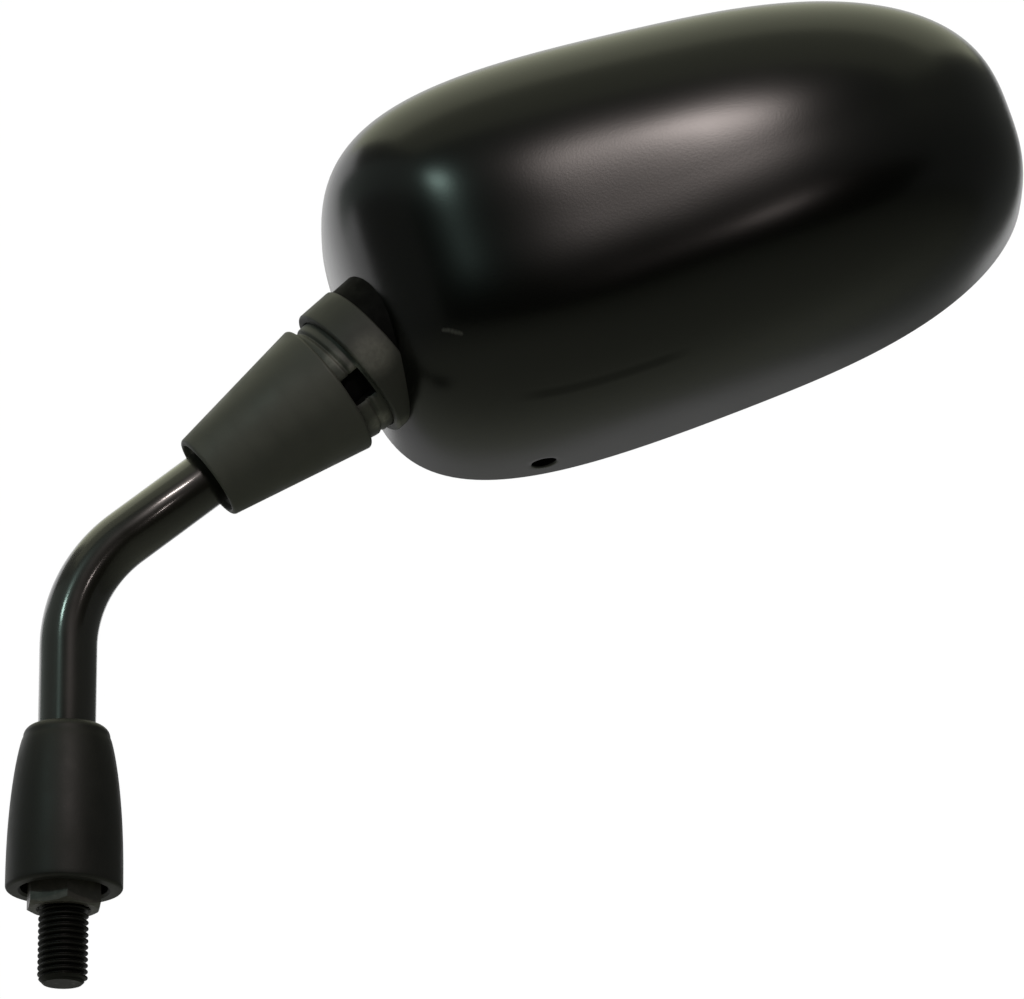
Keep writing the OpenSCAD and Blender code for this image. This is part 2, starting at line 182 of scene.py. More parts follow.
def finish(name, **values):
    """A new material with one Principled shader, and the tree, shader and object coordinates."""
    material = bpy.data.materials.new(name)
    material.use_nodes = True
    tree = material.node_tree
    shader = tree.nodes["Principled BSDF"]
    for key, value in values.items():
        shader.inputs[key.replace("_", " ")].default_value = value
    where = add(tree, "ShaderNodeTexCoord").outputs["Object"]
    return material, tree, shader, where


def grain(tree, where, size, detail=2.0):
    """Noise whose grains are about one size across, in metres."""
    settings = {"noise_dimensions": "3D"}
    node = add(tree, "ShaderNodeTexNoise", settings, {"Vector": where, "Scale": 1 / size, "Detail": detail})
    return node.outputs["Fac"]


def spread(tree, value, low, high, start=0.3, stop=0.7):
    """A noise value stretched from a low to a high value."""
    inputs = {"Value": value, "From Min": start, "From Max": stop, "To Min": low, "To Max": high}
    return add(tree, "ShaderNodeMapRange", None, inputs).outputs["Result"]


def relief(tree, shader, height, depth, strength=1.0):
    """Links a height, whose full range is a depth in metres, to the shader's normal."""
    inputs = {"Height": height, "Distance": depth, "Strength": strength}
    if shader.inputs["Normal"].is_linked:
        inputs["Normal"] = shader.inputs["Normal"].links[0].from_socket
    tree.links.new(add(tree, "ShaderNodeBump", None, inputs).outputs["Normal"], shader.inputs["Normal"])


def toned(code, factor, lift=0.0):
    """A colour made darker or lighter by a factor."""
    return [min(1, c * factor + lift) for c in code[:3]] + [1.0]


def mixed(tree, shader, mask, first, second):
    """Makes the base colour go from the first colour to the second as the mask rises."""
    node = add(tree, "ShaderNodeMix", {"data_type": "RGBA"}, {"Factor": mask, 6: first, 7: second})
    tree.links.new(node.outputs[2], shader.inputs["Base Color"])


def roughened(tree, shader, value, low, high):
    """Stretches a noise value from a low to a high roughness."""
    tree.links.new(spread(tree, value, low, high), shader.inputs["Roughness"])


def faded(tree, value, near, far):
    """One where the value is below the near distance, falling smoothly to nought at the far one."""
    inputs = {"Value": value, "From Min": near, "From Max": far, "To Min": 1.0, "To Max": 0.0}
    return add(tree, "ShaderNodeMapRange", {"interpolation_type": "SMOOTHSTEP"}, inputs).outputs["Result"]


def patches_at(tree, where, spots):
    """A mask that is one inside the spots, each (x, y, z, radius) in mm, and fades round them."""
    total = 0.0
    for x, y, z, radius in spots:
        inputs = {0: where, 1: (x * MM, y * MM, z * MM)}
        away = add(tree, "ShaderNodeVectorMath", {"operation": "DISTANCE"}, inputs).outputs["Value"]
        total = maths(tree, "MAXIMUM", faded(tree, away, 0.3 * radius * MM, 1.2 * radius * MM), total)
    return total


def scuffed_and_highlighted(tree, shader, where, spots, code, weight):
    """Lays a paler film over the base colour in the given spots, broken up by a fine noise: real scuffs on
    the housing, painted highlights on the collar, cone and dome.
    """
    broken = spread(tree, grain(tree, where, 0.9 * MM, 4), 0.4, weight)
    film = maths(tree, "MULTIPLY", patches_at(tree, where, spots), broken)
    base = shader.inputs["Base Color"]
    under = base.links[0].from_socket if base.is_linked else tuple(base.default_value)
    mixed(tree, shader, film, under, linear(code))


def moulded_abs(paint):
    """Black ABS moulded in a finely blasted tool: a soft broad sheen with a very fine grain."""
    made, tree, shader, where = finish("black_ABS_moulded", Base_Color=paint.housing, IOR=1.5)
    roughened(tree, shader, grain(tree, where, 24 * MM), 0.24, 0.27)
    # The tool's grain is about 0.1 mm; it is drawn at 0.45 mm so that it shows
    relief(tree, shader, grain(tree, where, 0.45 * MM, 3), 0.006 * MM)
    # A shallow sink line along the underside, duller than the skin round it
    at = add(tree, "ShaderNodeSeparateXYZ", None, {0: where}).outputs
    line = 1.0
    for axis, middle, near, far in (("Y", -15, 0.3, 1.9), ("X", 107, 11, 19), ("Z", 106, 16, 20)):
        away = maths(tree, "ABSOLUTE", maths(tree, "SUBTRACT", at[axis], middle * MM))
        line = maths(tree, "MULTIPLY", faded(tree, away, near * MM, far * MM), line)
    relief(tree, shader, line, -0.05 * MM)
    tree.links.new(spread(tree, line, 0.5, 0.3, 0, 1), shader.inputs["Specular IOR Level"])
    # Small scuffs where the shell has been knocked
    scuffs = [
        (74.8, -22.4, 113.6, 0.5),
        (75.3, -22.6, 113.5, 0.5),
        (75.8, -22.9, 113.4, 0.55),
        (76.5, -23.2, 113.1, 0.6),
        (77.2, -23.4, 112.8, 0.6),
        (77.8, -23.6, 112.6, 0.55),
        (78.3, -23.7, 112.4, 0.5),
        (151.5, 9.0, 119.1, 0.7),
    ]
    scuffed_and_highlighted(tree, shader, where, scuffs, "#5f5f5b", 0.55)
    return made


def eroded_abs(paint):
    """The same ABS where the tool is spark eroded: a matt, greyer skin with a coarse grain."""
    made, tree, shader, where = finish("black_ABS_eroded", Base_Color=paint.matt, IOR=1.5)
    roughened(tree, shader, grain(tree, where, 6 * MM), 0.5, 0.62)
    relief(tree, shader, grain(tree, where, 0.5 * MM, 3), 0.012 * MM)
    # Painted highlight on the front of the collar and a painted reflection on its underside
    scuffed_and_highlighted(tree, shader, where, [(60.6, -14.6, 111.2, 5), (65.9, 0.3, 101.3, 3)], "#8a8982", 0.6)
    return made


def dipped_paint(paint):
    """Black paint dipped over steel: a soft gloss with a slight orange peel."""
    made, tree, shader, where = finish("black_paint_dipped", Base_Color=paint.paint, IOR=1.5)
    shader.inputs["Coat Weight"].default_value = 1.0
    shader.inputs["Coat Roughness"].default_value = 0.13
    roughened(tree, shader, grain(tree, where, 9 * MM), 0.28, 0.36)
    relief(tree, shader, grain(tree, where, 2.2 * MM), 0.008 * MM)
    return made


def filled_nylon(paint):
    """Glass-filled nylon, moulded: a dull skin, weathered grey in clouds, with a fibrous grain."""
    made, tree, shader, where = finish("black_nylon_moulded", IOR=1.53)
    cloud = spread(tree, grain(tree, where, 9 * MM, 3), 0, 1)
    mixed(tree, shader, cloud, toned(paint.nylon, 0.8), paint.nylon)
    roughened(tree, shader, cloud, 0.5, 0.6)
    relief(tree, shader, grain(tree, where, 0.5 * MM, 4), 0.01 * MM)
    # A painted highlight streak along the cone's side that faces up
    streak = [
        (27.7, -9.0, 90.3, 6),
        (32.3, -10.0, 93.2, 6),
        (37.1, -11.1, 96.4, 6),
        (41.9, -12.1, 99.6, 6),
        (46.7, -13.1, 102.7, 6),
        (51.1, -13.9, 105.3, 5),
    ]
    scuffed_and_highlighted(tree, shader, where, streak, "#65665f", 0.45)
    # Painted highlights and a painted reflection on the dome's beads beside the notch
    bead_highlights = [(52.6, -12.7, 110.4, 2.4), (57.2, -12.7, 108.8, 1.8), (62.1, -3.5, 100.7, 2.8)]
    scuffed_and_highlighted(tree, shader, where, bead_highlights, "#8a8982", 0.8)
    return made


def painted_shade_black(paint):
    """Painted shade: black plastic in a recess, where no light gets in, drawn dull and dark."""
    made, tree, shader, where = finish("black_plastic_painted_shade", Base_Color=linear("#050505"), IOR=1.4)
    shader.inputs["Specular IOR Level"].default_value = 0.2
    roughened(tree, shader, grain(tree, where, 2 * MM), 0.7, 0.85)
    return made


def moulded_rubber(paint):
    """EPDM rubber, moulded: a dull skin with a greyish bloom and a fine eroded grain."""
    made, tree, shader, where = finish("black_rubber_moulded", IOR=1.5)
    patches = grain(tree, where, 7 * MM, 4)
    mixed(tree, shader, spread(tree, patches, 0, 1), paint.rubber, toned(paint.rubber, 1.5, 0.002))
    roughened(tree, shader, patches, 0.46, 0.58)
    relief(tree, shader, grain(tree, where, 0.6 * MM, 4), 0.016 * MM)
    return made


def black_steel(name, code, sheen):
    """Steel under a black oxide: a dark satin coat that is thinner and paler where it has worn."""
    made, tree, shader, where = finish(name, IOR=1.6)
    shader.inputs["Specular IOR Level"].default_value = sheen
    worn = spread(tree, grain(tree, where, 1.6 * MM, 5), 0, 1, 0.45, 0.75)
    mixed(tree, shader, worn, code, toned(code, 2))
    roughened(tree, shader, worn, 0.5, 0.38)
    relief(tree, shader, grain(tree, where, 0.3 * MM, 3), 0.004 * MM)
    return made


def zinc_plate(paint):
    """Steel pressed or turned and zinc plated: bright metal with a faint bluish cloud."""
    made, tree, shader, where = finish("steel_zinc_plated", Metallic=1.0)
    cloud = spread(tree, grain(tree, where, 3 * MM, 4), 0, 1)
    mixed(tree, shader, cloud, paint.zinc, toned(paint.zinc, 0.72))
    roughened(tree, shader, cloud, 0.26, 0.38)
    relief(tree, shader, grain(tree, where, 0.4 * MM), 0.004 * MM)
    return made


def drawn_wire(paint):
    """Spring steel, drawn and oiled: darker metal with fine lines and a wet gloss."""
    made, tree, shader, where = finish("spring_steel_drawn", Metallic=1.0)
    streak = spread(tree, grain(tree, where, 0.8 * MM, 5), 0, 1)
    mixed(tree, shader, streak, paint.spring, toned(paint.spring, 0.6))
    roughened(tree, shader, streak, 0.22, 0.34)
    return made


def natural_nylon(paint):
    """Unfilled nylon, moulded: milky, waxy and a little translucent."""
    made, tree, shader, where = finish("natural_nylon_moulded", IOR=1.53)
    shader.inputs["Subsurface Weight"].default_value = 0.25
    shader.inputs["Subsurface Radius"].default_value = (0.002, 0.0016, 0.001)
    cloud = spread(tree, grain(tree, where, 5 * MM), 0, 1)
    mixed(tree, shader, cloud, paint.natural, toned(paint.natural, 0.9))
    roughened(tree, shader, cloud, 0.36, 0.46)
    relief(tree, shader, grain(tree, where, 0.5 * MM), 0.006 * MM)
    return made


def closed_foam(paint):
    """Closed-cell polyethylene foam, sliced: dull black with small open cells."""
    made, tree, shader, where = finish("black_foam_sliced", Base_Color=paint.foam, Roughness=0.9)
    cells = add(tree, "ShaderNodeTexVoronoi", None, {"Vector": where, "Scale": 1 / (0.7 * MM)})
    relief(tree, shader, cells.outputs["Distance"], 0.12 * MM)
    return made


def silvered_glass(paint):
    """Float glass, bent and silvered behind: a clean reflection with a faint cool tint."""
    made, tree, shader, where = finish("glass_silvered", Metallic=1.0)
    shader.inputs["Coat Weight"].default_value = 1.0
    shader.inputs["Coat Roughness"].default_value = 0.01
    cloud = spread(tree, grain(tree, where, 40 * MM), 0, 1)
    mixed(tree, shader, cloud, paint.silver, toned(paint.silver, 0.97))
    roughened(tree, shader, cloud, 0.015, 0.03)
    return made


def ground_edge(paint):
    """Edge of the glass, ground with a belt: greenish, matt and finely scored."""
    made, tree, shader, where = finish("glass_edge_ground", Base_Color=linear("#5d6f68"), IOR=1.52)
    roughened(tree, shader, grain(tree, where, 0.6 * MM, 4), 0.45, 0.65)
    relief(tree, shader, grain(tree, where, 0.3 * MM, 4), 0.01 * MM)
    return made


# Meshes


def piece(name, parts, materials, body, node, crease=38):
    """Makes one object from closed parts, gives it its finish and sets it on its body."""
    shape = bmesh.new()
    for points, faces, index in parts:
        made = [shape.verts.new(p) for p in points]
        for face, number in zip(faces, np.broadcast_to(index, len(faces))):
            shape.faces.new([made[i] for i in face]).material_index = int(number)
    bmesh.ops.recalc_face_normals(shape, faces=shape.faces)
    mesh = bpy.data.meshes.new(name)
    shape.to_mesh(mesh)
    shape.free()
    mesh.shade_smooth()
    mesh.set_sharp_from_angle(angle=math.radians(crease))
    for material in materials:
        mesh.materials.append(material)
    made = bpy.data.objects.new(name, mesh)
    bpy.context.scene.collection.objects.link(made)
    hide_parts(node)
    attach(made, body)
    return made


def placed(points, matrix):
    """Points, in metres, carried into the row frame."""
    turn = np.array(matrix.to_3x3())
    return np.asarray(points, float) @ turn.T + np.array(matrix.translation)


def rounded(corners, steps=6):
    """A profile whose corners, each (r, z, radius), are rounded with arcs."""
    line = []
    count = len(corners)
    for i, (r, z, radius) in enumerate(corners):
        here = Vector((r, z))
        if radius == 0:
            line.append(tuple(here))
            continue
        back = (Vector(corners[i - 1][:2]) - here).normalized()
        ahead = (Vector(corners[(i + 1) % count][:2]) - here).normalized()
        half = back.angle(ahead) / 2
        inset = radius / math.tan(half)
        centre = here + (back + ahead).normalized() * radius / math.sin(half)
        start, stop = here + back * inset - centre, here + ahead * inset - centre
        sweep = start.angle(stop)
        for k in range(steps + 1):
            t = k / steps
            point = start * math.sin((1 - t) * sweep) + stop * math.sin(t * sweep)
            line.append(tuple(centre + point / math.sin(sweep)))
    return line


def turned(profile, matrix, sides=160, looped=False, edit=None, index=0):
    """A solid of revolution about +Z from (r, z) points; points on the axis become poles."""
    angles = np.arange(sides) * 2 * math.pi / sides
    points, rows = [], []
    for r, z in profile:
        if r < 1e-9:
            rows.append([len(points)])
            points.append((0, 0, z))
            continue
        rows.append(list(range(len(points), len(points) + sides)))
        radii = np.full(sides, r) if edit is None else edit(angles, r, z)
        points += list(zip(radii * np.cos(angles), radii * np.sin(angles), np.full(sides, z)))
    if looped:
        rows.append(rows[0])
    return placed(points, matrix), stitched(rows), index


def stitched(rows):
    """Faces between closed rings, where a ring of one point is a pole."""
    faces = []
    for low, high in zip(rows, rows[1:]):
        count = max(len(low), len(high))
        if count == 1:
            continue
        for i in range(count):
            j = (i + 1) % count
            if len(low) == 1:
                faces.append((low[0], high[j], high[i]))
            elif len(high) == 1:
                faces.append((low[i], low[j], high[0]))
            else:
                faces.append((low[i], low[j], high[j], high[i]))
    return faces


def evaluated(name, tree, values):
    """Runs a geometry tree on an empty mesh and returns the plain mesh's points and faces."""
    host = bpy.data.objects.new(name, bpy.data.meshes.new(name))
    bpy.context.scene.collection.objects.link(host)
    modifier = host.modifiers.new(name, "NODES")
    modifier.node_group = tree
    for item in tree.interface.items_tree:
        if item.item_type == "SOCKET" and item.in_out == "INPUT" and item.name in values:
            modifier[item.identifier] = values[item.name]
    graph = bpy.context.evaluated_depsgraph_get()
    mesh = bpy.data.meshes.new_from_object(host.evaluated_get(graph))
    points = np.array([v.co for v in mesh.vertices])
    faces = [tuple(p.vertices) for p in mesh.polygons]
    bpy.data.objects.remove(host)
    bpy.data.meshes.remove(mesh)
    return points, faces


def sockets(tree, inputs):
    """Adds a geometry output and the named inputs, each a float, integer or material."""
    tree.interface.new_socket("Geometry", in_out="OUTPUT", socket_type="NodeSocketGeometry")
    for name, kind in inputs.items():
        tree.interface.new_socket(name, in_out="INPUT", socket_type=f"NodeSocket{kind}")
    return add(tree, "NodeGroupInput").outputs, add(tree, "NodeGroupOutput").inputs


def shaped(tree, mesh, material):
    """Realizes a mesh, gives it its material and returns the last socket."""
    real = add(tree, "GeometryNodeRealizeInstances", None, {"Geometry": mesh}).outputs[0]
    return add(tree, "GeometryNodeSetMaterial", None, {"Geometry": real, "Material": material}).outputs[0]


def position(tree):
    """The X, Y and Z of each point of the geometry."""
    spot = add(tree, "GeometryNodeInputPosition").outputs[0]
    return add(tree, "ShaderNodeSeparateXYZ", None, {0: spot}).outputs


def thread_tree():
    """Geometry nodes that cut a helical thread on a bar with a turned end."""
    tree = bpy.data.node_groups.new("cut_thread", "GeometryNodeTree")
    kinds = {"Crest": "Float", "Root": "Float", "Pitch": "Float", "Length": "Float", "Chamfer": "Float"}
    given, out = sockets(tree, {**kinds, "Around": "Int", "Along": "Int", "Finish": "Material"})
    span = maths(tree, "ADD", given["Length"], maths(tree, "MULTIPLY", given["Crest"], 2.0))
    inputs = {"Size X": 2 * math.pi, "Size Y": span}
    inputs.update({"Vertices X": given["Around"], "Vertices Y": given["Along"]})
    sheet = add(tree, "GeometryNodeMeshGrid", None, inputs)
    at = position(tree)
    # The sheet runs across the end face, up the thread, and across the far face
    travel = maths(tree, "ADD", at["Y"], maths(tree, "MULTIPLY", span, 0.5))
    height = maths(tree, "SUBTRACT", travel, given["Crest"])
    height = maths(tree, "MINIMUM", maths(tree, "MAXIMUM", height, 0.0), given["Length"])
    turns = maths(tree, "DIVIDE", height, given["Pitch"])
    saw = maths(tree, "FRACT", maths(tree, "SUBTRACT", turns, maths(tree, "DIVIDE", at["X"], 2 * math.pi)))
    ramp = maths(tree, "ABSOLUTE", maths(tree, "SUBTRACT", maths(tree, "MULTIPLY", saw, 2.0), 1.0))
    inputs = {"Value": ramp, "From Min": 0.1, "From Max": 0.88}
    inputs.update({"To Min": given["Root"], "To Max": given["Crest"]})
    ridge = add(tree, "ShaderNodeMapRange", {"interpolation_type": "SMOOTHSTEP"}, inputs).outputs["Result"]
    tip = maths(tree, "ADD", maths(tree, "SUBTRACT", given["Crest"], given["Chamfer"]), height)
    radius = maths(tree, "MINIMUM", ridge, tip)
    radius = maths(tree, "MINIMUM", radius, travel)
    radius = maths(tree, "MINIMUM", radius, maths(tree, "SUBTRACT", span, travel))
    east = maths(tree, "MULTIPLY", radius, maths(tree, "COSINE", at["X"]))
    north = maths(tree, "MULTIPLY", radius, maths(tree, "SINE", at["X"]))
    spot = add(tree, "ShaderNodeCombineXYZ", None, {"X": east, "Y": north, "Z": height}).outputs[0]
    moved = add(tree, "GeometryNodeSetPosition", None, {"Geometry": sheet.outputs["Mesh"], "Position": spot})
    closed = add(tree, "GeometryNodeMergeByDistance", None, {"Geometry": moved.outputs[0], "Distance": 1e-7})
    tree.links.new(shaped(tree, closed.outputs[0], given["Finish"]), out["Geometry"])
    return tree


def coil_tree():
    """Geometry nodes that wind round wire on a helix with closed ends."""
    tree = bpy.data.node_groups.new("wind_spring", "GeometryNodeTree")
    kinds = {"Radius": "Float", "Wire": "Float", "Height": "Float", "Turns": "Float", "Finish": "Material"}
    given, out = sockets(tree, kinds)
    inputs = {"Resolution": 48, "Rotations": given["Turns"], "Height": given["Height"]}
    inputs.update({"Start Radius": given["Radius"], "End Radius": given["Radius"]})
    line = add(tree, "GeometryNodeCurveSpiral", None, inputs)
    ring = add(tree, "GeometryNodeCurvePrimitiveCircle", None, {"Resolution": 16})
    tree.links.new(maths(tree, "MULTIPLY", given["Wire"], 0.5), ring.inputs["Radius"])
    at = position(tree)
    share = maths(tree, "DIVIDE", at["Z"], given["Height"])
    # The coils draw together at both ends
    wave = maths(tree, "SINE", maths(tree, "MULTIPLY", share, 2 * math.pi))
    closing = maths(tree, "MULTIPLY", maths(tree, "MULTIPLY", wave, given["Height"]), -1 / 14)
    shift = add(tree, "ShaderNodeCombineXYZ", None, {"Z": closing}).outputs[0]
    bent = add(tree, "GeometryNodeSetPosition", None, {"Geometry": line.outputs[0], "Offset": shift})
    inputs = {"Curve": bent.outputs[0], "Profile Curve": ring.outputs[0], "Fill Caps": True}
    wire = add(tree, "GeometryNodeCurveToMesh", None, inputs)
    tree.links.new(shaped(tree, wire.outputs[0], given["Finish"]), out["Geometry"])
    return tree


# Housing

BLUNT, SLIM, BOWL = 4.0, 2.9, 3.2  # powers of the rim's two ends and of the bowl's section
TAPER, PINCH = 0.133, 0.07  # loss of height towards the slim end, and towards both ends
APEX = np.array([-18 * MM, -6.5 * MM])  # deepest point, seen from the glass side
HALF_SECTION = 50 * MM  # half the width of the section that spaces the bowl's rings


def rim_line(turns, inset, sizes):
    """Points of the egg-shaped rim in its own plane, drawn in by an inset."""
    c, s = np.cos(turns), np.sin(turns)
    power = BLUNT + (SLIM - BLUNT) * (1 + c) / 2
    reach = (np.abs(c) ** power + np.abs(s) ** power) ** (-1 / power)
    across = c * reach
    high = (sizes.half_h - inset) * (1 - TAPER * across - PINCH * across**2) * s * reach
    return np.stack([(sizes.half_l - inset) * across, high], -1)


def even(function, start, stop, count, closed):
    """Parameters that space a curve's points evenly."""
    fine = np.linspace(start, stop, 6001)
    steps = np.linalg.norm(np.diff(function(fine), axis=0), axis=1)
    run = np.concatenate([[0], np.cumsum(steps)])
    wanted = np.linspace(0, run[-1], count + 1)
    return np.interp(wanted[:-1] if closed else wanted, run, fine)


def upright(flat, y):
    """Points of the rim's plane, set at a y in the housing's frame."""
    return np.column_stack([flat[:, 0], np.full(len(flat), y), flat[:, 1]])


def bowl_skin(turns, slants, inset, sizes):
    """Rings of the bowl from the rim to near its deepest point, in the housing's frame."""
    outline = rim_line(turns, inset, sizes)
    rings = []
    for a in slants:
        k = math.cos(a) ** (2 / BOWL)
        y = sizes.rim_y - (sizes.depth - inset) * math.sin(a) ** (2 / BOWL)
        rings.append(upright(APEX + k * (outline - APEX), y))
    return np.array(rings)


class Skin:
    """A growing list of points and faces, kept in the housing's frame."""

    def __init__(self):
        self.points = []
        self.faces = []

    def ring(self, points):
        """Adds points and returns their numbers."""
        first = len(self.points)
        self.points += [tuple(p) for p in points]
        return list(range(first, first + len(points)))

    def strip(self, low, high):
        """Joins two closed rings of the same length."""
        for i in range(len(low)):
            j = (i + 1) % len(low)
            self.faces.append((low[i], low[j], high[j], high[i]))


def quad(grid, j, i):
    """The four corners of a cell of a grid of closed rings."""
    k = (i + 1) % len(grid[0])
    return grid[j][i], grid[j][k], grid[j + 1][k], grid[j + 1][i]


def edge_loop(cells, grid):
    """Ordered edge of a patch of grid cells."""
    pairs = set()
    for j, i in cells:
        corners = quad(grid, j, i)
        pairs.update(zip(corners, corners[1:] + corners[:1]))
    arrows = {a: b for a, b in pairs if (b, a) not in pairs}
    start = min(arrows)
    loop = [start]
    while arrows[loop[-1]] != start:
        loop.append(arrows[loop[-1]])
    return loop


def drilled(skin, grids, trees, drill, radii, clear, reach, lip):
    """Opens the outer and inner skins round a drill's axis and joins them by the bore's wall."""
    local = placed(skin.points, drill.inverted())
    near = (np.hypot(local[:, 0], local[:, 1]) < max(radii) + clear) & (np.abs(local[:, 2]) < reach)
    rows, around = len(grids[0]) - 1, len(grids[0][0])
    cells = {
        (j, i)
        for j in range(rows)
        for i in range(around)
        if any(near[corner] for grid in grids for corner in quad(grid, j, i))
    }
    down = (drill.to_3x3() @ Vector((0, 0, -1))).normalized()

    def lay(number, tree, radius, sink=0.0):
        """A point at a radius, laid on a skin below the given point and sunk along the drill."""
        u, v = local[number][:2]
        far = math.hypot(u, v)
        start = drill @ Vector((u / far * radius, v / far * radius, reach * 1.5))
        return tree.ray_cast(start, down)[0] + down * sink

    outer = edge_loop(cells, grids[0])
    cell_of = {point: (j, i) for j, row in enumerate(grids[0]) for i, point in enumerate(row)}
    inner = [grids[1][j][i] for j, i in (cell_of[point] for point in outer)]
    ends = []
    for loop, tree, radius, edge in zip((outer, inner), trees, radii, (lip, 0.0)):
        far = np.hypot(local[loop][:, 0], local[loop][:, 1])
        rings = [loop]
        for share in (0.25, 0.5, 0.75, 1.0):
            reached = far + (radius + edge - far) * share
            rings.append(skin.ring([lay(n, tree, r) for n, r in zip(loop, reached)]))
        for k in range(1, 5 if edge else 1):
            a = k * math.pi / 8
            r, sink = radius + edge * (1 - math.sin(a)), edge * (1 - math.cos(a))
            rings.append(skin.ring([lay(n, tree, r, sink) for n in loop]))
        for low, high in zip(rings, rings[1:]):
            skin.strip(low, high)
        ends.append(rings[-1])
    skin.strip(*ends)
    return cells


def housing_parts(sizes):
    """The moulded housing as one skin with its lip, drain hole and the neck's opening."""
    turns = even(lambda t: rim_line(t, 0, sizes), 0, 2 * math.pi, 256, True)

    def section(a):
        """Points down the bowl's section."""
        power = 2 / BOWL
        return np.column_stack([HALF_SECTION * np.cos(a) ** power, sizes.depth * np.sin(a) ** power])

    slants = even(section, 0, math.pi / 2 - 1e-6, 84, False)[1:-1]
    skin = Skin()
    grids, poles, trees = [], [], []
    layers = [(inset, bowl_skin(turns, slants, inset, sizes)) for inset in (0, sizes.wall)]
    for inset, rows in layers:
        grids.append([skin.ring(row) for row in rows])
        poles.append(skin.ring([(APEX[0], sizes.rim_y - sizes.depth + inset, APEX[1])]))
    for grid, pole in zip(grids, poles):
        trees.append(BVHTree.FromPolygons(skin.points, stitched(grid + [pole])))
    underside = Matrix.Translation((-42 * MM, 16 * MM, -sizes.half_h)) @ Matrix.Rotation(math.pi, 4, "X")
    drain_r = sizes.drain_d / 2
    cells = drilled(skin, grids, trees, underside, (drain_r, drain_r), 2.2 * MM, 14 * MM, 0.4 * MM)
    neck = HEAD.inverted() @ SWIVEL @ Matrix.Rotation(math.pi, 4, "X")
    cells |= drilled(skin, grids, trees, neck, (13.9 * MM, 14.7 * MM), 1.2 * MM, 30 * MM, 0.0)
    for grid, pole in zip(grids, poles):
        for j in range(len(grid) - 1):
            skin.faces += [quad(grid, j, i) for i in range(len(grid[0])) if (j, i) not in cells]
        skin.faces += stitched([grid[-1], pole])
    # The rim's lip: a rounded outer edge, a narrow flat and a rounded inner edge
    lip, inner_lip = 0.7 * MM, 0.5 * MM
    arc = [k * math.pi / 12 for k in range(7)]
    rows = [(lip * (1 - math.cos(a)), lip * (1 - math.sin(a))) for a in arc]
    rows += [(sizes.wall - inner_lip * (1 - math.sin(a)), inner_lip * (1 - math.cos(a))) for a in arc]
    rings = [grids[0][0]]
    for inset, drop in rows:
        rings.append(skin.ring(upright(rim_line(turns, inset, sizes), sizes.rim_y - drop)))
    rings.append(grids[1][0])
    for low, high in zip(rings, rings[1:]):
        skin.strip(low, high)
    used = sorted({n for face in skin.faces for n in face})
    number = {n: i for i, n in enumerate(used)}
    points = placed([skin.points[n] for n in used], HEAD)
    return points, [tuple(number[n] for n in face) for face in skin.faces], 0


# Operators


class MIRROR_OT_studio(bpy.types.Operator):
    """Sets the camera, the pale floor and the soft lights"""

    bl_idname = "mirror_part.studio"
    bl_label = "Studio"

    def execute(self, context):
        paint = context.scene.mirror_finishes
        scene = context.scene
        scene.view_settings.view_transform = "Standard"
        eye = bpy.data.cameras.new("camera")
        eye.lens, eye.sensor_width, eye.sensor_fit = 291.75, 36, "HORIZONTAL"
        eye.clip_start, eye.clip_end = 0.01, 60
        camera = bpy.data.objects.new("camera", eye)
        camera.location = (89.045 * MM, -1584.53 * MM, -426.62 * MM)
        camera.rotation_euler = (math.radians(90 + 17.907), math.radians(-0.066), 0)
        scene.collection.objects.link(camera)
        scene.camera = camera

        world = bpy.data.worlds.new("studio_air")
        world.use_nodes = True
        world.node_tree.nodes["Background"].inputs["Color"].default_value = linear("#5b5d5a")
        scene.world = world

        floor, tree, shader, where = finish("floor_painted", Base_Color=paint.floor, Roughness=0.8)
        roughened(tree, shader, grain(tree, where, 0.4), 0.75, 0.85)
        dark = finish("black_cloth_woven", Base_Color=linear("#050505"), Roughness=0.95)[0]
        white = glow("backdrop_lit", "#ffffff", 1.0)
        low = glow("backdrop_foot", "#ffffff", 0.35)
        ceiling = glow("ceiling_lit", "#f2f5d6", 1.0)
        dim = glow("ceiling_dim", "#f0f4d8", 0.45)
        panel = glow("side_panel", "#e2f0e8", 0.3)
        level("floor", (-8, 8), (-8, 4), FLOOR_Z, floor)
        level("ceiling", (-2.5, 2.5), (-0.4, BACK_Y), CEILING_Z, ceiling)
        level("ceiling_dim", (-3, 3), (-2.4, -0.4), CEILING_Z, dim)
        # The backdrop fills the picture, dark cloth faces it, and a panel stands at the left
        wall("backdrop", (-9, BACK_Y), (1.5, BACK_Y), 0.35, 4.5, white)
        wall("backdrop_foot", (-9, BACK_Y), (1.2, BACK_Y), FLOOR_Z, 0.35, low)
        wall("dark_wall", (-5, -BACK_Y), (5, -BACK_Y), FLOOR_Z + 0.01, 1.1, dark)
        wall("side_panel", (-2.2, -2.0), (-3.6, BACK_Y), 0.75, 2.0, panel)
        lamp("window_lamp", (0.225, -1.435, 0.915), 0.26, 0.05, 4.6, "#fff1ec")
        lamp("side_lamp", (-0.82, -1.25, 0.69), 0.2, 0.1, 1.8, "#dcfff4")
        lamp("low_lamp", (0.56, -1.385, 0.196), 0.06, 0.06, 0.35, "#fff0ea")
        return {"FINISHED"}


def glow(name, code, strength):
    """A studio finish that gives its own even light."""
    made, _, shader, _ = finish(name, Base_Color=linear("#000000"), Roughness=1.0)
    shader.inputs["Emission Color"].default_value = linear(code)
    shader.inputs["Emission Strength"].default_value = strength
    return made


def sheet(name, corners, material):
    """A flat four-cornered piece of the studio."""
    mesh = bpy.data.meshes.new(name)
    mesh.from_pydata(corners, [], [(0, 1, 2, 3)])
    mesh.materials.append(material)
    made = bpy.data.objects.new(name, mesh)
    bpy.context.scene.collection.objects.link(made)


def level(name, across, along, height, material):
    """A level sheet between two x and two y, in metres."""
    (left, right), (near, far) = across, along
    corners = [(left, near, height), (right, near, height), (right, far, height), (left, far, height)]
    sheet(name, corners, material)


